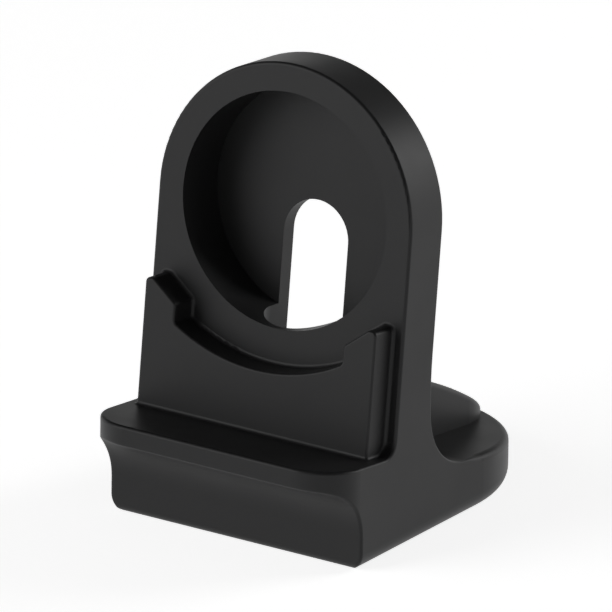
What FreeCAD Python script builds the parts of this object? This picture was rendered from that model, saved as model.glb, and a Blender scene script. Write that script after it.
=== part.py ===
import FreeCAD, Part
import math
import os
import Sketcher

# A charging dock for a round watch charger, moulded in one piece.
# Millimetres. X runs across, Y to the rear, Z up. The origin lies on the
# table, in the middle of the dock's width and depth.

# Each size has its value and its meaning. Lengths named after the lip run
# back from the lip's front face, and those named after the rear edge run
# forward from it.
SIZES = {
    "width": (47.2, "width over the sides"),
    "depth": (66.2, "depth from the lip to the rear"),
    "lean": (6.1, "lean of the upright plate, in degrees"),
    "plate_set_back": (15.6, "lip to the plate's front face, taken at table level"),
    "plate_thickness": (9.0, "thickness of the upright plate"),
    "arch_height": (51.0, "height of the arch's centre on the plate's front face"),
    "tray_height": (18.2, "height of the tray's front edge"),
    "tray_fillet": (2.4, "hollow fillet between tray and plate"),
    "lip_height": (3.45, "height of the lip's front face"),
    "lip_corner": (7.8, "plan radius of the lip's corners"),
    "cove_depth": (8.35, "how far the cove runs back under the lip"),
    "cove_radius": (9.2, "radius of the cove"),
    "foot_depth": (27.55, "lip to the rear face of the plate's foot"),
    "foot_blend": (60.0, "gentle bend from the plate's back to its foot"),
    "base_fillet": (11.0, "hollow fillet between foot and base"),
    "base_height": (6.6, "height of the base at its rear edge"),
    "recess_diameter": (38.0, "recess that takes the charger"),
    "recess_depth": (9.65, "depth of the recess"),
    "recess_floor": (2.85, "floor behind the recess"),
    "boss_diameter": (41.6, "round boss behind the recess"),
    "spine_width": (22.0, "spine that runs from the boss down into the hump"),
    "slot_width": (12.0, "width of the slot and of the cable channel"),
    "slot_drop": (32.0, "arch centre down to where the hump closes the slot"),
    "channel_skin": (1.35, "wall in front of the cable channel"),
    "groove_height": (5.0, "height of the cable groove under the base"),
    "groove_corner": (2.0, "radius in the groove's upper corners"),
    "saddle_depth": (4.9, "how far the saddle stands out of the plate"),
    "saddle_width": (43.2, "width of the saddle"),
    "saddle_drop": (14.2, "arch centre down to the saddle's horns"),
    "saddle_radius": (31.6, "radius of the saddle's hollow"),
    "saddle_low": (24.75, "arch centre down to the hollow's lowest point"),
    "saddle_corner": (0.8, "rounding of the saddle's corners"),
    "saddle_crook": (1.0, "rounding where step and hollow meet"),
    "saddle_edge": (0.4, "rounding of the saddle's front edge"),
    "saddle_foot": (0.6, "hollow fillet round the saddle's foot"),
    "horn_width": (1.5, "flat top of each horn"),
    "slope_width": (4.35, "slope inside each horn, measured across"),
    "slope_fall": (3.35, "slope inside each horn, measured down"),
    "hump_width": (24.7, "width of the cable hump"),
    "hump_corner": (10.5, "plan radius of the hump's rear corners"),
    "hump_gap": (0.1, "hump's end to the base's rear edge"),
    "hump_radius": (100.0, "radius of the hump's long arched top"),
    "hump_mark": (20.9, "rear edge to the upper mark on the hump's arch"),
    "hump_mark_height": (17.8, "height of the upper mark"),
    "hump_tail": (5.7, "rear edge to the lower mark on the hump's arch"),
    "hump_tail_height": (9.35, "height of the lower mark"),
    "hump_edge": (0.9, "rounding of the hump's top edge"),
    "front_edge": (0.5, "rounding round the front faces"),
    "side_bottom_edge": (2.75, "rounding under the sides and the rear"),
    "front_bottom_edge": (1.4, "rounding under the lower front"),
    "rim_edge": (1.1, "rounding of the base's upper edge"),
    "back_edge": (0.3, "rounding of the plate's back edge"),
    "boss_edge": (0.8, "rounding of the boss's edge"),
}
SIZE = {name: value for name, (value, _) in SIZES.items()}

# How far waste reaches past what it cuts, and how near counts as touching
SPARE = 3.0
CLOSE = 0.01

# Sketch numbers for an edge's ends and centre, and for the sketch's own axes
START, END, CENTRE = 1, 2, 3
ACROSS_AXIS, UP_AXIS = -1, -2

doc = FreeCAD.newDocument("watch_dock")

sheet = doc.addObject("Spreadsheet::Sheet", "Sizes")
for row, (alias, (value, meaning)) in enumerate(SIZES.items(), start=1):
    sheet.set(f"A{row}", meaning)
    sheet.set(f"B{row}", str(value))
    sheet.setAlias(f"B{row}", alias)
doc.recompute()

# Directions and places that several features share

lean = math.radians(SIZE["lean"])
up_plate = FreeCAD.Vector(0, math.sin(lean), math.cos(lean))
into_plate = FreeCAD.Vector(0, math.cos(lean), -math.sin(lean))
recess_radius = SIZE["recess_diameter"] / 2
half_width = SIZE["width"] / 2
front = -SIZE["depth"] / 2
rear = SIZE["depth"] / 2
rear_round = rear - half_width
lower_front = front + SIZE["cove_depth"]
plate_toe = front + SIZE["plate_set_back"]
arch_centre = FreeCAD.Vector(0, plate_toe + SIZE["arch_height"] * math.tan(lean), SIZE["arch_height"])
boss_radius = SIZE["boss_diameter"] / 2
boss_depth = SIZE["recess_depth"] + SIZE["recess_floor"]
channel_radius = SIZE["slot_width"] / 2
channel_depth = SIZE["channel_skin"] + channel_radius

# The saddle's corners, measured across the plate and up it from the arch's centre
saddle_side = SIZE["saddle_width"] / 2
horn_side = saddle_side - SIZE["horn_width"]
step_side = horn_side - SIZE["slope_width"]
saddle_low = -SIZE["saddle_low"]
hollow_centre = SIZE["saddle_radius"] - SIZE["saddle_low"]
step_foot = hollow_centre - math.sqrt(SIZE["saddle_radius"] ** 2 - step_side ** 2)
horn_top = -SIZE["saddle_drop"]
slope_foot = horn_top - SIZE["slope_fall"]

# The hump's arched top, in the side view: a large circle through two marks
hump_mark = FreeCAD.Vector(rear - SIZE["hump_mark"], SIZE["hump_mark_height"], 0)
hump_tail = FreeCAD.Vector(rear - SIZE["hump_tail"], SIZE["hump_tail_height"], 0)
hump_chord = hump_tail - hump_mark
hump_sink = math.sqrt(SIZE["hump_radius"] ** 2 - (hump_chord.Length / 2) ** 2)
hump_inward = FreeCAD.Vector(hump_chord.y, -hump_chord.x, 0).normalize()
hump_centre = (hump_mark + hump_tail) * 0.5 + hump_inward * hump_sink

# The same places as the sheet gives them
TOE = "(-Sizes.depth / 2 + Sizes.plate_set_back)"
CHANNEL_DEPTH = "(Sizes.channel_skin + Sizes.slot_width / 2)"


def side_point(vector):
    """Returns a point's place in the side view."""
    return (vector.y, vector.z)


class Outline:
    """A sketch drawn as closed runs of lines and arcs, with its sizes tied to the sheet."""

    def __init__(self, body, name, support):
        self.sketch = body.newObject("Sketcher::SketchObject", name)
        self.sketch.AttachmentSupport = [(support, "")]
        self.sketch.MapMode = "FlatFace"

    def line(self, start, end):
        """Draws a line and returns its number."""
        edge = Part.LineSegment(FreeCAD.Vector(*start, 0), FreeCAD.Vector(*end, 0))
        return self.sketch.addGeometry(edge, False)

    def lines(self, points):
        """Draws a run of lines and returns their numbers."""
        return [self.line(start, end) for start, end in zip(points, points[1:])]

    def arc(self, start, middle, end):
        """Draws an arc through three points and returns its number."""
        edge = Part.Arc(*[FreeCAD.Vector(*point, 0) for point in (start, middle, end)])
        return self.sketch.addGeometry(edge, False)

    def circle(self, centre, radius):
        """Draws a circle and returns its number."""
        edge = Part.Circle(FreeCAD.Vector(*centre, 0), FreeCAD.Vector(0, 0, 1), radius)
        return self.sketch.addGeometry(edge, False)

    def rule(self, kind, *references):
        """Adds a rule without a size, such as Vertical or Parallel."""
        self.sketch.addConstraint(Sketcher.Constraint(kind, *references))

    def size(self, name, expression, kind, *references):
        """Adds a size, as drawn, and ties it to the sheet."""
        number = self.sketch.addConstraint(Sketcher.Constraint(kind, *references))
        self.sketch.renameConstraint(number, name)
        self.sketch.setExpression(f"Constraints.{name}", expression)

    def place(self, name, edge, point, across=None, along=None):
        """Ties a point's distances from the sketch's origin to the sheet."""
        spot = self.sketch.getPoint(edge, point)
        if across is not None:
            self.size(f"{name}_across", across, "DistanceX", ACROSS_AXIS, START, edge, point, spot.x)
        if along is not None:
            self.size(f"{name}_along", along, "DistanceY", ACROSS_AXIS, START, edge, point, spot.y)

    def meeting_ends(self, first, second):
        """Returns which end of each of two edges meets the other."""
        choices = [(a, b) for a in (START, END) for b in (START, END)]
        return min(choices, key=lambda ends: self.sketch.getPoint(first, ends[0]).distanceToPoint(
            self.sketch.getPoint(second, ends[1])))

    def join(self, edges, smooth=()):
        """Joins a closed run of edges end to end, tangent where a pair is listed as smooth."""
        for first, second in zip(edges, edges[1:] + edges[:1]):
            a, b = self.meeting_ends(first, second)
            kind = "Tangent" if (first, second) in smooth else "Coincident"
            self.rule(kind, first, a, second, b)


class Moulding:
    """A body that grows by one feature after another."""

    def __init__(self, name):
        self.body = doc.addObject("PartDesign::Body", name)
        self.body.Label = name
        self.body.Placement = FreeCAD.Placement()

    def origin_plane(self, role):
        """Returns the body's own XY_Plane, XZ_Plane or YZ_Plane."""
        return next(item for item in self.body.Origin.OriginFeatures if item.Role == role)

    def outline(self, name, support):
        """Starts a sketch on one of the body's planes."""
        plane = self.origin_plane(support) if isinstance(support, str) else support
        return Outline(self.body, name, plane)

    def add(self, kind, name, outline, sizes, **properties):
        """Adds a pad or pocket of an outline, with its lengths tied to the sheet."""
        before = self.body.Shape.Volume if self.body.Tip else 0.0
        feature = self.body.newObject(f"PartDesign::{kind}", name)
        feature.Profile = outline.sketch
        for key, value in properties.items():
            setattr(feature, key, value)
        for key, expression in sizes.items():
            feature.setExpression(key, expression)
        self.body.Tip = feature
        self.settle(feature)
        grows = kind == "Pad"
        if (self.body.Shape.Volume > before) != grows:
            raise RuntimeError(f"{name}: the volume went from {before} to {self.body.Shape.Volume}")
        return feature

    def fillet(self, name, size, test):
        """Rounds the edges whose points all pass a test, and those that run on from them."""
        base = self.body.Tip
        chosen = [f"Edge{number}" for number, edge in enumerate(base.Shape.Edges, start=1)
                  if all(test(point) for point in edge.discretize(Number=5))]
        if not chosen:
            raise RuntimeError(f"{name}: no such edge")
        feature = self.body.newObject("PartDesign::Fillet", name)
        feature.Base = (base, chosen)
        feature.setExpression("Radius", f"Sizes.{size}")
        self.body.Tip = feature
        self.settle(feature)

    def settle(self, feature):
        """Rebuilds the document and stops where a feature failed."""
        doc.recompute()
        failed = {"Invalid", "Error"} & set(feature.State)
        if failed or feature.Shape.isNull() or not feature.Shape.isValid():
            raise RuntimeError(f"{feature.Name}: {feature.State} {feature.getStatusString()}")


def near(value, target):
    """Tells whether two lengths are the same."""
    return abs(value - target) < CLOSE


def plate_place(point):
    """Returns a point's place across the plate, up the plate and into it, from the arch's centre."""
    offset = point - arch_centre
    return (offset.x, offset.dot(up_plate), offset.dot(into_plate))


dock = Moulding("dock_moulding")


def draw_side():
    """Draws the dock's side view: cove, lip, tray, leaning plate, hollow fillet and base."""
    slope = math.tan(lean)
    tray_y = (plate_toe + SIZE["tray_height"] * slope + front * slope ** 2) / (1 + slope ** 2)
    corner = FreeCAD.Vector(0, tray_y, SIZE["tray_height"] - (tray_y - front) * slope)
    fillet = SIZE["tray_fillet"]
    tray_end = corner - into_plate * fillet
    plate_start = corner + up_plate * fillet
    tray_middle = tray_end + up_plate * fillet + (into_plate - up_plate) * fillet / math.sqrt(2)

    lip_low = SIZE["tray_height"] - SIZE["lip_height"]
    cove_y = lower_front - SIZE["cove_radius"]
    cove_angle = math.acos((front - cove_y) / SIZE["cove_radius"])
    cove_z = lip_low - SIZE["cove_radius"] * math.sin(cove_angle)
    cove_middle = (cove_y + SIZE["cove_radius"] * math.cos(cove_angle / 2),
                   cove_z + SIZE["cove_radius"] * math.sin(cove_angle / 2))

    top_front = arch_centre + up_plate * (half_width + SPARE)
    top_back = top_front + into_plate * SIZE["plate_thickness"]
    foot = front + SIZE["foot_depth"]
    knee_z = (foot - plate_toe - SIZE["plate_thickness"] / math.cos(lean)) / slope
    blend = SIZE["foot_blend"]
    blend_reach = blend * math.tan(lean / 2)
    knee = FreeCAD.Vector(0, foot, knee_z)
    back_end = knee + up_plate * blend_reach
    foot_top = knee - FreeCAD.Vector(0, 0, blend_reach)
    blend_middle = (foot + blend * (1 - math.cos(lean / 2)), foot_top.z + blend * math.sin(lean / 2))

    heel = FreeCAD.Vector(0, foot, SIZE["base_height"] + (rear - foot) * slope)
    hollow = SIZE["base_fillet"]
    hollow_reach = hollow * math.tan((math.pi / 2 - lean) / 2)
    foot_end = heel + FreeCAD.Vector(0, 0, hollow_reach)
    base_start = heel + into_plate * hollow_reach
    hollow_centre = foot_end + FreeCAD.Vector(0, hollow, 0)
    hollow_middle = hollow_centre + (heel - hollow_centre).normalize() * hollow

    side = dock.outline("side_view", "YZ_Plane")
    lower = side.line((lower_front, 0), (lower_front, cove_z))
    cove = side.arc((lower_front, cove_z), cove_middle, (front, lip_low))
    lip = side.line((front, lip_low), (front, SIZE["tray_height"]))
    tray = side.line((front, SIZE["tray_height"]), side_point(tray_end))
    tray_arc = side.arc(side_point(tray_end), side_point(tray_middle), side_point(plate_start))
    plate_front = side.line(side_point(plate_start), side_point(top_front))
    top = side.line(side_point(top_front), side_point(top_back))
    plate_back = side.line(side_point(top_back), side_point(back_end))
    blend_arc = side.arc(side_point(back_end), blend_middle, side_point(foot_top))
    foot_face = side.line(side_point(foot_top), side_point(foot_end))
    hollow_arc = side.arc(side_point(foot_end), side_point(hollow_middle), side_point(base_start))
    base_top = side.line(side_point(base_start), (rear, SIZE["base_height"]))
    rear_face = side.line((rear, SIZE["base_height"]), (rear, 0))
    floor = side.line((rear, 0), (lower_front, 0))
    side.join([lower, cove, lip, tray, tray_arc, plate_front, top, plate_back, blend_arc, foot_face,
               hollow_arc, base_top, rear_face, floor],
              smooth=[(lower, cove), (tray, tray_arc), (tray_arc, plate_front), (plate_back, blend_arc),
                      (blend_arc, foot_face), (foot_face, hollow_arc), (hollow_arc, base_top)])
    for upright in (lower, lip, foot_face, rear_face):
        side.rule("Vertical", upright)
    for level in (top, base_top):
        side.rule("Parallel", tray, level)
    side.rule("Perpendicular", tray, plate_front)
    side.rule("Parallel", plate_front, plate_back)
    side.rule("PointOnObject", floor, START, ACROSS_AXIS)
    toe = side.sketch.addGeometry(Part.Point(FreeCAD.Vector(plate_toe, 0, 0)), True)
    side.rule("PointOnObject", toe, START, ACROSS_AXIS)
    side.rule("PointOnObject", toe, START, plate_front)
    side.place("toe", toe, START, across=TOE)
    side.place("lower_front", lower, START, "-Sizes.depth / 2 + Sizes.cove_depth", "0")
    side.place("lip_foot", lip, START, "-Sizes.depth / 2", "Sizes.tray_height - Sizes.lip_height")
    side.place("lip_top", lip, END, along="Sizes.tray_height")
    side.place("foot", foot_face, START, across="-Sizes.depth / 2 + Sizes.foot_depth")
    side.place("rear_edge", base_top, END, "Sizes.depth / 2", "Sizes.base_height")
    side.place("top", top, START, along=f"Sizes.arch_height + (Sizes.width / 2 + {SPARE}) * cos(Sizes.lean)")
    side.size("lean", "90 - Sizes.lean", "Angle", plate_front, math.pi / 2 - lean)
    side.size("thickness", "Sizes.plate_thickness", "Distance", top, SIZE["plate_thickness"])
    side.size("cove_radius", "Sizes.cove_radius", "Radius", cove, SIZE["cove_radius"])
    side.size("tray_fillet", "Sizes.tray_fillet", "Radius", tray_arc, fillet)
    side.size("foot_blend", "Sizes.foot_blend", "Radius", blend_arc, blend)
    side.size("base_fillet", "Sizes.base_fillet", "Radius", hollow_arc, hollow)
    return side


def draw_plan_waste():
    """Draws what is cut away round the plan: a frame whose inside is the dock seen from above."""
    corner = SIZE["lip_corner"]
    bend = corner * (1 - math.sqrt(0.5))
    plan = dock.outline("plan_waste", "XY_Plane")
    back_round = plan.arc((half_width, rear_round), (0, rear), (-half_width, rear_round))
    left = plan.line((-half_width, rear_round), (-half_width, front + corner))
    left_corner = plan.arc((-half_width, front + corner), (-half_width + bend, front + bend),
                           (-half_width + corner, front))
    lip = plan.line((-half_width + corner, front), (half_width - corner, front))
    right_corner = plan.arc((half_width - corner, front), (half_width - bend, front + bend),
                            (half_width, front + corner))
    right = plan.line((half_width, front + corner), (half_width, rear_round))
    run = [back_round, left, left_corner, lip, right_corner, right]
    plan.join(run, smooth=list(zip(run, run[1:] + run[:1])))
    plan.rule("Vertical", left)
    plan.rule("Vertical", right)
    plan.rule("PointOnObject", back_round, CENTRE, UP_AXIS)
    plan.rule("Equal", left_corner, right_corner)
    plan.place("rear_round", back_round, CENTRE, along="Sizes.depth / 2 - Sizes.width / 2")
    plan.place("lip", lip, START, along="-Sizes.depth / 2")
    plan.size("half_width", "Sizes.width / 2", "Radius", back_round, half_width)
    plan.size("lip_corner", "Sizes.lip_corner", "Radius", left_corner, corner)

    reach = half_width + 2 * SPARE
    corners = [(-reach, front - SPARE), (reach, front - SPARE), (reach, rear + SPARE),
               (-reach, rear + SPARE), (-reach, front - SPARE)]
    frame = plan.lines(corners)
    plan.join(frame)
    for level, upright in ((frame[0], frame[1]), (frame[2], frame[3])):
        plan.rule("Horizontal", level)
        plan.rule("Vertical", upright)
    plan.place("near_left", frame[0], START, f"-Sizes.width / 2 - {2 * SPARE}",
               f"-Sizes.depth / 2 - {SPARE}")
    plan.place("far_right", frame[2], START, f"Sizes.width / 2 + {2 * SPARE}", f"Sizes.depth / 2 + {SPARE}")
    return plan


def draw_arch_waste():
    """Draws what is cut away round the top of the plate, on the plate's front face."""
    reach = half_width + SPARE
    top = half_width + 2 * SPARE
    arch = dock.outline("arch_waste", plate_face)
    left_shelf = arch.line((-reach, 0), (-half_width, 0))
    crown = arch.arc((-half_width, 0), (0, half_width), (half_width, 0))
    right_shelf = arch.line((half_width, 0), (reach, 0))
    right = arch.line((reach, 0), (reach, top))
    roof = arch.line((reach, top), (-reach, top))
    left = arch.line((-reach, top), (-reach, 0))
    arch.join([left_shelf, crown, right_shelf, right, roof, left])
    arch.rule("Coincident", crown, CENTRE, ACROSS_AXIS, START)
    for level in (left_shelf, right_shelf, roof):
        arch.rule("Horizontal", level)
    arch.rule("PointOnObject", left_shelf, START, ACROSS_AXIS)
    for upright in (left, right):
        arch.rule("Vertical", upright)
    arch.rule("PointOnObject", right_shelf, START, ACROSS_AXIS)
    arch.size("half_width", "Sizes.width / 2", "Radius", crown, half_width)
    arch.place("roof_right", roof, START, f"Sizes.width / 2 + {SPARE}", f"Sizes.width / 2 + {2 * SPARE}")
    arch.place("roof_left", roof, END, across=f"-Sizes.width / 2 - {SPARE}")
    return arch


# The block: the side view at full width, trimmed to the plan and to the arch

dock.add("Pad", "block", draw_side(), {"Length": f"Sizes.width + {2 * SPARE}"}, SideType="Symmetric")
dock.add("Pocket", "plan_cut", draw_plan_waste(),
         {"Length": f"2 * Sizes.arch_height + Sizes.width + {4 * SPARE}"}, SideType="Symmetric")

plate_face = dock.body.newObject("PartDesign::Plane", "plate_face")
plate_face.AttachmentSupport = [(dock.origin_plane("XZ_Plane"), "")]
plate_face.MapMode = "FlatFace"
plate_face.AttachmentOffset = FreeCAD.Placement(
    FreeCAD.Vector(0, arch_centre.z, -arch_centre.y),
    FreeCAD.Rotation(FreeCAD.Vector(-1, 0, 0), SIZE["lean"]))
plate_face.setExpression("AttachmentOffset.Base.y", "Sizes.arch_height")
plate_face.setExpression("AttachmentOffset.Base.z", f"-{TOE} - Sizes.arch_height * tan(Sizes.lean)")
plate_face.setExpression("AttachmentOffset.Rotation.Angle", "Sizes.lean")
doc.recompute()
dock.add("Pocket", "arch_cut", draw_arch_waste(),
         {"Length": f"2 * (Sizes.plate_thickness + {SPARE})"}, SideType="Symmetric")

# Roundings of the block

dock.fillet("side_bottom_round", "side_bottom_edge",
            lambda p: near(p.z, 0) and (near(abs(p.x), half_width) or p.y > rear_round - CLOSE))
dock.fillet("lower_front_round", "front_edge",
            lambda p: near(p.y, front) and near(p.z, SIZE["tray_height"] - SIZE["lip_height"]))
dock.fillet("upper_front_round", "front_edge",
            lambda p: near(p.y, front) and near(p.z, SIZE["tray_height"]))


def draw_bottom_waste():
    """Draws what is cut away under the lower front, in the side view."""
    edge = SIZE["front_bottom_edge"]
    bend = edge * (1 - math.sqrt(0.5))
    waste = dock.outline("bottom_waste", "YZ_Plane")
    shelf = waste.line((lower_front - SPARE, edge), (lower_front, edge))
    round_edge = waste.arc((lower_front, edge), (lower_front + bend, bend), (lower_front + edge, 0))
    drop = waste.line((lower_front + edge, 0), (lower_front + edge, -SPARE))
    floor = waste.line((lower_front + edge, -SPARE), (lower_front - SPARE, -SPARE))
    left = waste.line((lower_front - SPARE, -SPARE), (lower_front - SPARE, edge))
    waste.join([shelf, round_edge, drop, floor, left])
    for level in (shelf, floor):
        waste.rule("Horizontal", level)
    for upright in (drop, left):
        waste.rule("Vertical", upright)
    waste.rule("PointOnObject", drop, START, ACROSS_AXIS)
    waste.rule("Vertical", round_edge, CENTRE, drop, START)
    waste.size("radius", "Sizes.front_bottom_edge", "Radius", round_edge, edge)
    waste.place("shelf", shelf, END, "-Sizes.depth / 2 + Sizes.cove_depth", "Sizes.front_bottom_edge")
    waste.place("floor", floor, END, f"-Sizes.depth / 2 + Sizes.cove_depth - {SPARE}", f"-{SPARE}")
    return waste


def draw_saddle():
    """Draws the saddle on the plate's front face: two horns with a round hollow between them."""
    tray = (SIZE["tray_height"] - SIZE["plate_set_back"] * math.tan(lean)) * math.cos(lean)
    root = tray - SIZE["arch_height"] / math.cos(lean) - SPARE
    saddle = dock.outline("saddle_outline", plate_face)
    run = saddle.lines([(step_side, step_foot), (step_side, slope_foot), (horn_side, horn_top),
                        (saddle_side, horn_top), (saddle_side, root), (-saddle_side, root),
                        (-saddle_side, horn_top), (-horn_side, horn_top), (-step_side, slope_foot),
                        (-step_side, step_foot)])
    right_step, right_slope, right_horn, right_side, base, left_side, left_horn, left_slope, left_step = run
    hollow = saddle.arc((-step_side, step_foot), (0, saddle_low), (step_side, step_foot))
    saddle.join(run + [hollow])
    saddle.rule("Vertical", right_step)
    saddle.rule("Vertical", right_side)
    saddle.rule("Horizontal", right_horn)
    for right, left in ((right_step, left_step), (right_slope, left_slope), (right_horn, left_horn),
                        (right_side, left_side)):
        saddle.rule("Symmetric", right, START, left, END, UP_AXIS)
    saddle.rule("Symmetric", right_side, END, left_side, START, UP_AXIS)
    inner = "Sizes.saddle_width / 2 - Sizes.horn_width"
    saddle.place("side", right_side, START, "Sizes.saddle_width / 2", "-Sizes.saddle_drop")
    saddle.place("horn", right_horn, START, inner)
    saddle.place("step", right_step, END, f"{inner} - Sizes.slope_width",
                 "-Sizes.saddle_drop - Sizes.slope_fall")
    saddle.place("hollow", hollow, CENTRE, along="Sizes.saddle_radius - Sizes.saddle_low")
    saddle.size("radius", "Sizes.saddle_radius", "Radius", hollow, SIZE["saddle_radius"])
    saddle.place("root", base, START, along=(
        "(Sizes.tray_height - Sizes.plate_set_back * tan(Sizes.lean)) * cos(Sizes.lean)"
        f" - Sizes.arch_height / cos(Sizes.lean) - {SPARE}"))
    return saddle


def draw_boss():
    """Draws the boss behind the recess and the spine below it, on a plane inside the plate."""
    side = SIZE["spine_width"] / 2
    neck = -math.sqrt(boss_radius ** 2 - side ** 2)
    toe = -SIZE["slot_drop"] - SPARE
    boss = dock.outline("boss_outline", plate_face)
    boss.sketch.setExpression("AttachmentOffset.Base.z", "-Sizes.plate_thickness / 2")
    ring = boss.arc((side, neck), (0, boss_radius), (-side, neck))
    left, foot, right = boss.lines([(-side, neck), (-side, toe), (side, toe), (side, neck)])
    boss.join([ring, left, foot, right])
    boss.rule("Coincident", ring, CENTRE, ACROSS_AXIS, START)
    boss.rule("Vertical", left)
    boss.rule("Vertical", right)
    boss.rule("Horizontal", foot)
    boss.size("radius", "Sizes.boss_diameter / 2", "Radius", ring, boss_radius)
    boss.place("left_toe", foot, START, "-Sizes.spine_width / 2", f"-Sizes.slot_drop - {SPARE}")
    boss.place("right_toe", foot, END, "Sizes.spine_width / 2")
    return boss


def draw_recess():
    """Draws the recess's circle on the plate's front face."""
    recess = dock.outline("recess_outline", plate_face)
    circle = recess.circle((0, 0), recess_radius)
    recess.rule("Coincident", circle, CENTRE, ACROSS_AXIS, START)
    recess.size("radius", "Sizes.recess_diameter / 2", "Radius", circle, recess_radius)
    return recess


def draw_slot():
    """Draws the slot through the recess's floor, on a plane at the cable channel's axis."""
    drop = -SIZE["slot_drop"]
    slot = dock.outline("slot_outline", plate_face)
    slot.sketch.setExpression("AttachmentOffset.Base.z", f"-{CHANNEL_DEPTH}")
    crown = slot.arc((channel_radius, -channel_radius), (0, 0), (-channel_radius, -channel_radius))
    left = slot.line((-channel_radius, -channel_radius), (-channel_radius, drop))
    foot = slot.line((-channel_radius, drop), (channel_radius, drop))
    right = slot.line((channel_radius, drop), (channel_radius, -channel_radius))
    slot.join([crown, left, foot, right], smooth=[(crown, left), (right, crown)])
    slot.rule("Horizontal", foot)
    slot.rule("Vertical", left)
    slot.rule("PointOnObject", crown, CENTRE, UP_AXIS)
    slot.place("crown", crown, CENTRE, along="-Sizes.slot_width / 2")
    slot.size("radius", "Sizes.slot_width / 2", "Radius", crown, channel_radius)
    slot.place("foot", foot, START, along="-Sizes.slot_drop")
    return slot


def draw_hump_plan(hump):
    """Draws the hump seen from above, where the bottom rounding ends. Its end follows the base's rear."""
    side = SIZE["hump_width"] / 2
    corner = SIZE["hump_corner"]
    end_radius = half_width - SIZE["hump_gap"]
    corner_x = side - corner
    corner_y = rear_round + math.sqrt((end_radius - corner) ** 2 - corner_x ** 2)
    turn = math.atan2(corner_y - rear_round, corner_x)
    touch = (end_radius * math.cos(turn), rear_round + end_radius * math.sin(turn))
    bulge = (corner_x + corner * math.cos(turn / 2), corner_y + corner * math.sin(turn / 2))
    start_y = front + SIZE["foot_depth"] - SPARE
    plan = hump.outline("hump_plan", "XY_Plane")
    plan.sketch.setExpression("AttachmentOffset.Base.z", "Sizes.side_bottom_edge")
    right_corner = plan.arc((side, corner_y), bulge, touch)
    end = plan.arc(touch, (0, rear_round + end_radius), (-touch[0], touch[1]))
    left_corner = plan.arc((-touch[0], touch[1]), (-bulge[0], bulge[1]), (-side, corner_y))
    left, near_end, right = plan.lines([(-side, corner_y), (-side, start_y), (side, start_y),
                                        (side, corner_y)])
    plan.join([right_corner, end, left_corner, left, near_end, right],
              smooth=[(right_corner, end), (end, left_corner), (left_corner, left), (right, right_corner)])
    plan.rule("Horizontal", near_end)
    plan.rule("Vertical", left)
    plan.rule("Vertical", right)
    plan.rule("Equal", left_corner, right_corner)
    plan.rule("PointOnObject", end, CENTRE, UP_AXIS)
    plan.place("end", end, CENTRE, along="Sizes.depth / 2 - Sizes.width / 2")
    plan.place("left_start", near_end, START, "-Sizes.hump_width / 2",
               f"-Sizes.depth / 2 + Sizes.foot_depth - {SPARE}")
    plan.place("right_start", near_end, END, "Sizes.hump_width / 2")
    plan.size("end_radius", "Sizes.width / 2 - Sizes.hump_gap", "Radius", end, end_radius)
    plan.size("corner", "Sizes.hump_corner", "Radius", right_corner, corner)
    return plan


def on_arch(y):
    """Returns the point of the hump's arched top at this distance to the rear, in the side view."""
    return (y, hump_centre.y + math.sqrt(SIZE["hump_radius"] ** 2 - (y - hump_centre.x) ** 2))


def draw_hump_waste(hump):
    """Draws what is cut away above the hump's long arched top, in the side view."""
    start = front + SIZE["foot_depth"] - 2 * SPARE
    end = rear + SPARE
    roof = SIZE["arch_height"]
    waste = hump.outline("hump_waste", "YZ_Plane")
    arch = waste.arc(on_arch(start), on_arch((start + end) / 2), on_arch(end))
    far, lid, close = waste.lines([on_arch(end), (end, roof), (start, roof), on_arch(start)])
    waste.join([arch, far, lid, close])
    waste.rule("Vertical", far)
    waste.rule("Vertical", close)
    waste.rule("Horizontal", lid)
    marks = []
    for spot in (hump_mark, hump_tail):
        point = waste.sketch.addGeometry(Part.Point(spot), True)
        waste.rule("PointOnObject", point, START, arch)
        marks.append(point)
    waste.place("mark", marks[0], START, "Sizes.depth / 2 - Sizes.hump_mark", "Sizes.hump_mark_height")
    waste.place("tail", marks[1], START, "Sizes.depth / 2 - Sizes.hump_tail", "Sizes.hump_tail_height")
    waste.size("radius", "Sizes.hump_radius", "Radius", arch, SIZE["hump_radius"])
    waste.place("far", far, END, f"Sizes.depth / 2 + {SPARE}", "Sizes.arch_height")
    waste.place("close", close, START, f"-Sizes.depth / 2 + Sizes.foot_depth - {2 * SPARE}")
    return waste


def draw_groove():
    """Draws the cable groove seen from behind, on a plane at the foot of the cable channel."""
    height = SIZE["groove_height"]
    corner = SIZE["groove_corner"]
    bend = corner * (1 - math.sqrt(0.5))
    side = channel_radius
    groove = dock.outline("groove_outline", "XZ_Plane")
    groove.sketch.setExpression(
        "AttachmentOffset.Base.z", f"-{TOE} - {CHANNEL_DEPTH} / cos(Sizes.lean)")
    left = groove.line((-side, -SPARE), (-side, height - corner))
    left_arc = groove.arc((-side, height - corner), (-side + bend, height - bend), (-side + corner, height))
    roof = groove.line((-side + corner, height), (side - corner, height))
    right_arc = groove.arc((side - corner, height), (side - bend, height - bend), (side, height - corner))
    right = groove.line((side, height - corner), (side, -SPARE))
    floor = groove.line((side, -SPARE), (-side, -SPARE))
    groove.join([left, left_arc, roof, right_arc, right, floor],
                smooth=[(left, left_arc), (left_arc, roof), (roof, right_arc), (right_arc, right)])
    groove.rule("Vertical", left)
    groove.rule("Horizontal", roof)
    groove.rule("Horizontal", floor)
    groove.rule("Equal", left_arc, right_arc)
    groove.size("corner", "Sizes.groove_corner", "Radius", left_arc, corner)
    groove.place("left", left, START, "-Sizes.slot_width / 2", f"-{SPARE}")
    groove.place("right", right, END, "Sizes.slot_width / 2")
    groove.place("roof", roof, START, along="Sizes.groove_height")
    return groove


dock.add("Pocket", "front_bottom_cut", draw_bottom_waste(),
         {"Length": f"Sizes.width + {2 * SPARE}"}, SideType="Symmetric")

# The saddle that carries the watch, and its roundings

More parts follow.
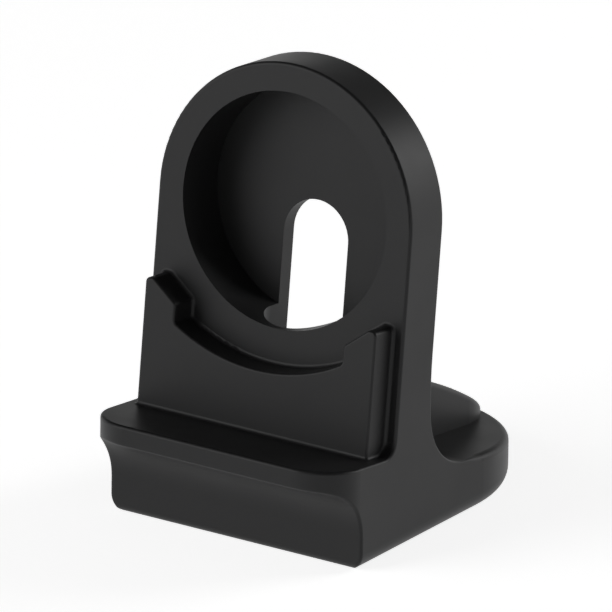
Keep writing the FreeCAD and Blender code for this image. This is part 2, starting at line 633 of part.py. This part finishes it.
dock.add("Pad", "saddle", draw_saddle(), {"Length": "Sizes.saddle_depth"})


def at_outline(point, across, along):
    """Tells whether a point lies on an edge that stands out of the plate at this place."""
    sideways, height, _ = plate_place(point)
    return near(abs(sideways), across) and near(height, along)


saddle_corners = [(saddle_side, horn_top), (horn_side, horn_top), (step_side, slope_foot)]
dock.fillet("saddle_corner_round", "saddle_corner",
            lambda p: any(at_outline(p, *corner) for corner in saddle_corners))
dock.fillet("saddle_crook_round", "saddle_crook", lambda p: at_outline(p, step_side, step_foot))
dock.fillet("saddle_front_round", "saddle_edge",
            lambda p: near(plate_place(p)[2], -SIZE["saddle_depth"]) and near(abs(p.x), saddle_side)
            and plate_place(p)[1] > -SIZE["arch_height"])
dock.fillet("saddle_foot_round", "saddle_foot",
            lambda p: near(abs(p.x), saddle_side) and near(plate_place(p)[2], 0))

# The recess, the boss and spine behind it, and the slot

dock.add("Pad", "boss", draw_boss(),
         {"Length": "Sizes.recess_depth + Sizes.recess_floor - Sizes.plate_thickness / 2"}, Reversed=True)
dock.fillet("boss_round", "boss_edge",
            lambda p: near(plate_place(p)[2], boss_depth)
            and plate_place(p)[1] > -SIZE["slot_drop"] - SPARE + CLOSE)
dock.add("Pocket", "recess", draw_recess(), {"Length": "Sizes.recess_depth"})
dock.add("Pocket", "slot", draw_slot(), {"Length": "Sizes.recess_depth + Sizes.recess_floor"})

# The hump over the cable channel, shaped by itself and then joined on

hump = Moulding("cable_hump")
hump.add("Pad", "ridge", draw_hump_plan(hump),
         {"Length": f"Sizes.arch_height - Sizes.side_bottom_edge - {SPARE}"})
hump.add("Pocket", "arched_top", draw_hump_waste(hump), {"Length": f"Sizes.hump_width + {2 * SPARE}"},
         SideType="Symmetric")
hump.fillet("hump_round", "hump_edge",
            lambda p: near(abs(p.x), SIZE["hump_width"] / 2) and near(p.z, on_arch(p.y)[1]))
joined = dock.body.newObject("PartDesign::Boolean", "joined_hump")
joined.Type = "Fuse"
joined.setObjects([hump.body])
dock.body.Tip = joined
dock.settle(joined)

# The cable channel, down through the plate and out under the base

channel_face = dock.body.newObject("PartDesign::Plane", "channel_face")
channel_face.AttachmentSupport = [(dock.origin_plane("XY_Plane"), "")]
channel_face.MapMode = "FlatFace"
mouth = arch_centre + into_plate * channel_depth - up_plate * recess_radius / 2
channel_face.AttachmentOffset = FreeCAD.Placement(
    mouth, FreeCAD.Rotation(FreeCAD.Vector(-1, 0, 0), SIZE["lean"]))
channel_face.setExpression("AttachmentOffset.Base.y", (
    f"{TOE} + Sizes.arch_height * tan(Sizes.lean) + {CHANNEL_DEPTH} * cos(Sizes.lean)"
    " - Sizes.recess_diameter / 4 * sin(Sizes.lean)"))
channel_face.setExpression("AttachmentOffset.Base.z", (
    f"Sizes.arch_height - {CHANNEL_DEPTH} * sin(Sizes.lean)"
    " - Sizes.recess_diameter / 4 * cos(Sizes.lean)"))
channel_face.setExpression("AttachmentOffset.Rotation.Angle", "Sizes.lean")
doc.recompute()
channel = dock.outline("channel_outline", channel_face)
ring = channel.circle((0, 0), channel_radius)
channel.rule("Coincident", ring, CENTRE, ACROSS_AXIS, START)
channel.size("radius", "Sizes.slot_width / 2", "Radius", ring, channel_radius)
dock.add("Pocket", "channel", channel, {}, Type="ThroughAll")
dock.add("Pocket", "groove", draw_groove(), {}, Type="ThroughAll")

# The rear edges are rounded last: full on the base's rim, fading up the hollow fillet to
# a near-sharp edge round the back of the plate


def on_side_wall(point):
    """Tells whether a point lies on the outer wall: the flat sides, the rear round or the arch."""
    sideways, height, _ = plate_place(point)
    on_rear_round = point.y > rear_round and near(math.hypot(point.x, point.y - rear_round), half_width)
    on_crown = height > 0 and near(math.hypot(sideways, height), half_width)
    return near(abs(point.x), half_width) or on_rear_round or on_crown


def is_rear_edge(edge):
    """Tells whether an edge runs between the outer wall and the dock's back."""
    return all(on_side_wall(point) and plate_place(point)[2] > SIZE["plate_thickness"] - CLOSE
               and point.z > SIZE["base_height"] - CLOSE for point in edge.discretize(Number=5))


def rounding_at(point):
    """Returns the rounding at a point of the rear edges, by how far down the hollow fillet it lies."""
    hollow_reach = SIZE["base_fillet"] * math.tan((math.pi / 2 - lean) / 2) * math.cos(lean)
    share = (point.y - front - SIZE["foot_depth"]) / hollow_reach
    on_plate = plate_place(point)[2] < boss_depth
    share = 0.0 if on_plate else min(max(share, 0.0), 1.0)
    return SIZE["back_edge"] + share * (SIZE["rim_edge"] - SIZE["back_edge"])


finished = doc.addObject("Part::Fillet", "rounded_dock")
finished.Label = "dock_body"
finished.Base = dock.body
finished.Edges = [
    (number, rounding_at(edge.firstVertex(True).Point), rounding_at(edge.lastVertex(True).Point))
    for number, edge in enumerate(dock.body.Shape.Edges, start=1) if is_rear_edge(edge)]
doc.recompute()

# Every feature is checked, then the finished dock is written

for item in doc.Objects:
    if {"Invalid", "Error"} & set(item.State):
        raise RuntimeError(f"{item.Name}: {item.State}")
if finished.Shape.isNull() or not finished.Shape.isValid() or len(finished.Shape.Solids) != 1:
    raise RuntimeError("the finished dock is not one sound solid")

os.makedirs("parts", exist_ok=True)
finished.Shape.exportStep(f"parts/{finished.Label}.step")
print(f"dock_body: {finished.Shape.Volume / 1000:.2f} cm3, {len(finished.Shape.Faces)} faces")
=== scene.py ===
"""A soft black charging dock for a round watch charger, on a pale studio floor.

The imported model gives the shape. This script gives the dock its moulded silicone
finish, and sets the floor, the dim ceiling, the soft lamps and the camera round it.
"""

import logging
import math
from dataclasses import dataclass, field
from enum import Enum

import bpy
from mathutils import Matrix, Vector

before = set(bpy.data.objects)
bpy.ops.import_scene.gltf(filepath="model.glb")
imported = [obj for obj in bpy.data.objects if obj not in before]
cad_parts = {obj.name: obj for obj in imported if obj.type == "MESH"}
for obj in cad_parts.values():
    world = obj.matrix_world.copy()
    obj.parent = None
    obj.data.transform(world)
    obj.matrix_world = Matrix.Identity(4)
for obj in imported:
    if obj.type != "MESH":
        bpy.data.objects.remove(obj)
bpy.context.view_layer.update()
MM = 0.001

log = logging.getLogger("charging_dock")


class Ray(Enum):
    """The kinds of ray that are asked for by name, as Light Path names them."""

    CAMERA = "Is Camera Ray"
    GLOSSY = "Is Glossy Ray"
    TRANSMISSION = "Is Transmission Ray"


def add_node(
    tree: bpy.types.NodeTree, kind: str, place: tuple[float, float], **settings: object
) -> bpy.types.Node:
    """Adds one node to a node tree.

    Args:
        tree: The tree that gets the node.
        kind: Blender's name for the node's type.
        place: Where the node stands in the editor.
        **settings: The node's own settings by name.

    Returns:
        The new node.
    """
    node = tree.nodes.new(kind)
    node.location = place
    for name, value in settings.items():
        setattr(node, name, value)
    return node


def direction_of(azimuth: float, elevation: float) -> Vector:
    """Gives the direction from the dock to something that stands round it.

    Args:
        azimuth: Degrees round from the front, towards the right.
        elevation: Degrees above the table.

    Returns:
        The direction, of length 1.
    """
    round_about, above = math.radians(azimuth), math.radians(elevation)
    return Vector((
        math.sin(round_about) * math.cos(above),
        -math.cos(round_about) * math.cos(above),
        math.sin(above),
    ))


@dataclass(frozen=True)
class MouldedSilicone:
    """Black silicone with the fine matt skin that a spark-worn mould leaves.

    Args:
        colour: The silicone's own colour.
        cloud_colour: The colour where the matt skin is a little drier.
        cloud_size: How far apart the cloudy patches lie, in metres.
        grain_size: How far apart the grains of the skin lie, in metres.
        grain_height: How far the grains stand up, in metres.
        roughness: The roughness at its least and at its most.
        shine: How strongly the skin mirrors, as the shader counts it.
    """

    colour: tuple[float, float, float] = (0.0155, 0.0155, 0.0160)
    cloud_colour: tuple[float, float, float] = (0.0175, 0.0175, 0.0180)
    cloud_size: float = 9.0 * MM
    grain_size: float = 0.22 * MM
    grain_height: float = 0.004 * MM
    roughness: tuple[float, float] = (0.43, 0.49)
    shine: float = 0.27

    def build(self, name: str) -> bpy.types.Material:
        """Makes the material.

        Args:
            name: The material's name.

        Returns:
            The material, ready for a piece.
        """
        material = bpy.data.materials.new(name)
        material.use_nodes = True
        tree = material.node_tree
        tree.nodes.clear()
        output = add_node(tree, "ShaderNodeOutputMaterial", (900, 0))
        skin = add_node(tree, "ShaderNodeBsdfPrincipled", (600, 0))
        tree.links.new(skin.outputs["BSDF"], output.inputs["Surface"])
        skin.inputs["Specular IOR Level"].default_value = self.shine
        where = add_node(tree, "ShaderNodeTexCoord", (-900, 0)).outputs["Object"]
        clouds = self._clouds(tree, where)
        tree.links.new(self._tint(tree, clouds), skin.inputs["Base Color"])
        tree.links.new(self._dryness(tree, clouds), skin.inputs["Roughness"])
        tree.links.new(self._grain(tree, where), skin.inputs["Normal"])
        return material

    def _clouds(
        self, tree: bpy.types.NodeTree, where: bpy.types.NodeSocket
    ) -> bpy.types.NodeSocket:
        """Makes the cloudy patches.

        Args:
            tree: The material's node tree.
            where: The place on the piece.

        Returns:
            A value from 0 to 1 that changes slowly over the surface.
        """
        clouds = add_node(tree, "ShaderNodeTexNoise", (-600, 200))
        clouds.inputs["Scale"].default_value = 1.0 / self.cloud_size
        clouds.inputs["Detail"].default_value = 4.0
        clouds.inputs["Roughness"].default_value = 0.55
        tree.links.new(where, clouds.inputs["Vector"])
        return clouds.outputs["Fac"]

    def _tint(
        self, tree: bpy.types.NodeTree, clouds: bpy.types.NodeSocket
    ) -> bpy.types.NodeSocket:
        """Turns the patches into the colour.

        Args:
            tree: The material's node tree.
            clouds: The cloudy value.

        Returns:
            The colour over the surface.
        """
        tint = add_node(tree, "ShaderNodeValToRGB", (-300, 250))
        tint.color_ramp.elements[0].position = 0.3
        tint.color_ramp.elements[0].color = (*self.colour, 1.0)
        tint.color_ramp.elements[1].position = 0.7
        tint.color_ramp.elements[1].color = (*self.cloud_colour, 1.0)
        tree.links.new(clouds, tint.inputs["Fac"])
        return tint.outputs["Color"]

    def _dryness(
        self, tree: bpy.types.NodeTree, clouds: bpy.types.NodeSocket
    ) -> bpy.types.NodeSocket:
        """Turns the patches into the roughness.

        Args:
            tree: The material's node tree.
            clouds: The cloudy value.

        Returns:
            The roughness over the surface.
        """
        dryness = add_node(tree, "ShaderNodeMapRange", (-300, 0))
        dryness.inputs["From Min"].default_value = 0.3
        dryness.inputs["From Max"].default_value = 0.7
        dryness.inputs["To Min"].default_value = self.roughness[0]
        dryness.inputs["To Max"].default_value = self.roughness[1]
        tree.links.new(clouds, dryness.inputs["Value"])
        return dryness.outputs["Result"]

    def _grain(
        self, tree: bpy.types.NodeTree, where: bpy.types.NodeSocket
    ) -> bpy.types.NodeSocket:
        """Raises the fine grain of the mould.

        Args:
            tree: The material's node tree.
            where: The place on the piece.

        Returns:
            The surface's normal.
        """
        grain = add_node(tree, "ShaderNodeTexNoise", (-600, -250))
        grain.inputs["Scale"].default_value = 1.0 / self.grain_size
        grain.inputs["Detail"].default_value = 2.0
        tree.links.new(where, grain.inputs["Vector"])
        raised = add_node(tree, "ShaderNodeBump", (-300, -250))
        raised.inputs["Strength"].default_value = 1.0
        raised.inputs["Distance"].default_value = self.grain_height
        tree.links.new(grain.outputs["Fac"], raised.inputs["Height"])
        return raised.outputs["Normal"]


@dataclass
class ChargingDock:
    """The dock: one soft moulding with its recess, saddle, tray and base.

    Args:
        node: The moulding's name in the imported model.
        finish: What it is made of.
    """

    node: str = "dock_body"
    finish: MouldedSilicone = field(default_factory=MouldedSilicone)

    def dress(self) -> bpy.types.Object:
        """Gives the moulding its finish.

        Returns:
            The moulding.
        """
        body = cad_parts[self.node]
        silicone = self.finish.build("moulded_silicone")
        body.data.materials.clear()
        body.data.materials.append(silicone)
        return body


@dataclass(frozen=True)
class SoftLamp:
    """A square soft box that looks at the dock.

    Args:
        name: What the lamp does.
        azimuth: Degrees round from the front, towards the right.
        elevation: Degrees above the table.
        distance: Metres from the dock.
        width: The soft box's width in metres.
        level: How brightly it lights a white surface that faces it, where 1 is white.
    """

    name: str
    azimuth: float
    elevation: float
    distance: float
    width: float
    level: float

    def hang(self, target: Vector) -> bpy.types.Object:
        """Hangs the lamp and turns it to the dock.

        Args:
            target: The point that the lamp looks at.

        Returns:
            The lamp.
        """
        data = bpy.data.lights.new(self.name, "AREA")
        data.shape = "SQUARE"
        data.size = self.width
        data.energy = self.level * (math.pi * self.distance) ** 2
        lamp = bpy.data.objects.new(self.name, data)
        bpy.context.scene.collection.objects.link(lamp)
        towards = direction_of(self.azimuth, self.elevation)
        lamp.location = target + towards * self.distance
        lamp.rotation_mode = "QUATERNION"
        lamp.rotation_quaternion = towards.to_track_quat("Z", "Y")
        return lamp


@dataclass
class Studio:
    """The floor, the surroundings and the lamps.

    Args:
        floor_width: The floor's width in metres.
        floor_drop: How far below the dock's underside the floor lies, in metres.
        floor_colour: The floor's own colour.
        floor_glow: What is added to the floor where it is seen, so that it is white.
        room_level: How bright the room is as a light, where 1 is white.
        ceiling_height: Metres from the floor up to the dim ceiling.
        ceiling_width: The ceiling's width in metres.
        ceiling_colour: The ceiling's own colour.
        target: The point that the lamps look at.
        lamps: The lamps.
    """

    floor_width: float = 6.0
    floor_drop: float = 0.02 * MM
    floor_colour: tuple[float, float, float] = (0.82, 0.82, 0.82)
    floor_glow: float = 0.78
    room_level: float = 0.60
    ceiling_height: float = 0.9
    ceiling_width: float = 6.0
    ceiling_colour: tuple[float, float, float] = (0.14, 0.14, 0.14)
    target: Vector = field(default_factory=lambda: Vector((0.0, 0.0, 0.035)))
    lamps: tuple[SoftLamp, ...] = (
        SoftLamp("front_left_lamp", -36.0, 20.0, 0.9, 0.60, 0.36),
        SoftLamp("rear_right_lamp", 142.0, 21.0, 0.9, 0.40, 0.26),
    )

    def seen_rays(self, tree: bpy.types.NodeTree) -> bpy.types.NodeSocket:
        """Tells a seen or mirrored background from one that lights the dock.

        Args:
            tree: The node tree that asks.

        Returns:
            A value of 1 for the rays that show the background.
        """
        path = add_node(tree, "ShaderNodeLightPath", (-900, 300))
        seen = path.outputs[Ray.CAMERA.value]
        for ray in (Ray.GLOSSY, Ray.TRANSMISSION):
            either = add_node(tree, "ShaderNodeMath", (-600, 300), operation="MAXIMUM")
            tree.links.new(seen, either.inputs[0])
            tree.links.new(path.outputs[ray.value], either.inputs[1])
            seen = either.outputs["Value"]
        return seen

    def lay_floor(self) -> bpy.types.Object:
        """Lays the pale floor under the dock.

        Returns:
            The floor.
        """
        bpy.ops.mesh.primitive_plane_add(
            size=self.floor_width, location=(0.0, 0.0, -self.floor_drop)
        )
        floor = bpy.context.object
        floor.name = "floor"
        floor.data.materials.append(self.floor_material())
        return floor

    def floor_material(self) -> bpy.types.Material:
        """Makes the floor's pale material, which shows white and keeps its shadows.

        Returns:
            The material.
        """
        material = self.matt_cloth("pale_floor", self.floor_colour)
        tree = material.node_tree
        surface = tree.nodes["Principled BSDF"]
        surface.inputs["Emission Color"].default_value = (1.0, 1.0, 1.0, 1.0)
        glow = add_node(tree, "ShaderNodeMath", (-300, 300), operation="MULTIPLY")
        glow.inputs[1].default_value = self.floor_glow
        tree.links.new(self.seen_rays(tree), glow.inputs[0])
        tree.links.new(glow.outputs["Value"], surface.inputs["Emission Strength"])
        return material

    def paint_room(self) -> bpy.types.World:
        """Paints the surroundings: white where they are seen, dim as a light.

        Returns:
            The world.
        """
        world = bpy.data.worlds.new("pale_room")
        world.use_nodes = True
        tree = world.node_tree
        level = add_node(tree, "ShaderNodeMapRange", (-300, 300))
        level.inputs["To Min"].default_value = self.room_level
        level.inputs["To Max"].default_value = 1.0
        tree.links.new(self.seen_rays(tree), level.inputs["Value"])
        background = tree.nodes["Background"]
        background.inputs["Color"].default_value = (1.0, 1.0, 1.0, 1.0)
        tree.links.new(level.outputs["Result"], background.inputs["Strength"])
        bpy.context.scene.world = world
        return world

    def hang_ceiling(self) -> bpy.types.Object:
        """Hangs the dim ceiling that keeps light from above off the dock.

        Returns:
            The ceiling.
        """
        bpy.ops.mesh.primitive_plane_add(
            size=self.ceiling_width, location=(0.0, 0.0, self.ceiling_height)
        )
        ceiling = bpy.context.object
        ceiling.name = "ceiling"
        ceiling.visible_camera = False
        ceiling.data.materials.append(self.matt_cloth("dim_cloth", self.ceiling_colour))
        return ceiling

    def matt_cloth(
        self, name: str, colour: tuple[float, float, float]
    ) -> bpy.types.Material:
        """Makes a matt material with no shine of its own.

        Args:
            name: The material's name.
            colour: The material's own colour.

        Returns:
            The material.
        """
        material = bpy.data.materials.new(name)
        material.use_nodes = True
        surface = material.node_tree.nodes["Principled BSDF"]
        surface.inputs["Base Color"].default_value = (*colour, 1.0)
        surface.inputs["Roughness"].default_value = 0.9
        surface.inputs["Specular IOR Level"].default_value = 0.0
        return material

    def build(self) -> None:
        """Sets up the floor, the room, its ceiling and every lamp."""
        self.lay_floor()
        self.paint_room()
        self.hang_ceiling()
        for lamp in self.lamps:
            lamp.hang(self.target)


@dataclass
class TableCamera:
    """A long lens that looks down on the dock from the front right.

    Args:
        azimuth: Degrees round from the front, towards the right.
        elevation: Degrees above the table.
        roll: How far the camera is tipped to its left, in degrees.
        aim: The point in the middle of the picture, in metres.
        distance: Metres from the aim to the lens.
        picture_width: How much the picture spans at the aim, in metres.
    """

    azimuth: float = 33.65
    elevation: float = 20.42
    roll: float = 0.70
    aim: Vector = field(default_factory=lambda: Vector((18.27, -33.1, 45.56)) * MM)
    distance: float = 4.0
    picture_width: float = 94.55 * MM

    def build(self) -> bpy.types.Object:
        """Makes the camera and hands it to the scene.

        Returns:
            The camera.
        """
        data = bpy.data.cameras.new("table_camera")
        data.lens = data.sensor_width * self.distance / self.picture_width
        data.clip_start = 0.1
        data.clip_end = 20.0
        camera = bpy.data.objects.new("table_camera", data)
        bpy.context.scene.collection.objects.link(camera)
        back = direction_of(self.azimuth, self.elevation)
        right = Vector((0.0, 0.0, 1.0)).cross(back).normalized()
        level = Matrix((right, back.cross(right), back)).transposed()
        tipped = level @ Matrix.Rotation(math.radians(self.roll), 3, "Z")
        camera.matrix_world = Matrix.Translation(self.aim + back * self.distance) @ tipped.to_4x4()
        bpy.context.scene.camera = camera
        return camera


def main() -> None:
    """Builds the scene piece by piece."""
    logging.basicConfig(level=logging.INFO, format="%(name)s: %(message)s")
    bpy.context.scene.view_settings.view_transform = "Standard"
    body = ChargingDock().dress()
    log.info("dressed %s with %s", body.name, body.data.materials[0].name)
    Studio().build()
    log.info("set up the floor, the room and %d lamps", len(Studio.lamps))
    camera = TableCamera().build()
    log.info("camera %s looks through a %.0f mm lens", camera.name, camera.data.lens)


if __name__ == "__main__":
    main()
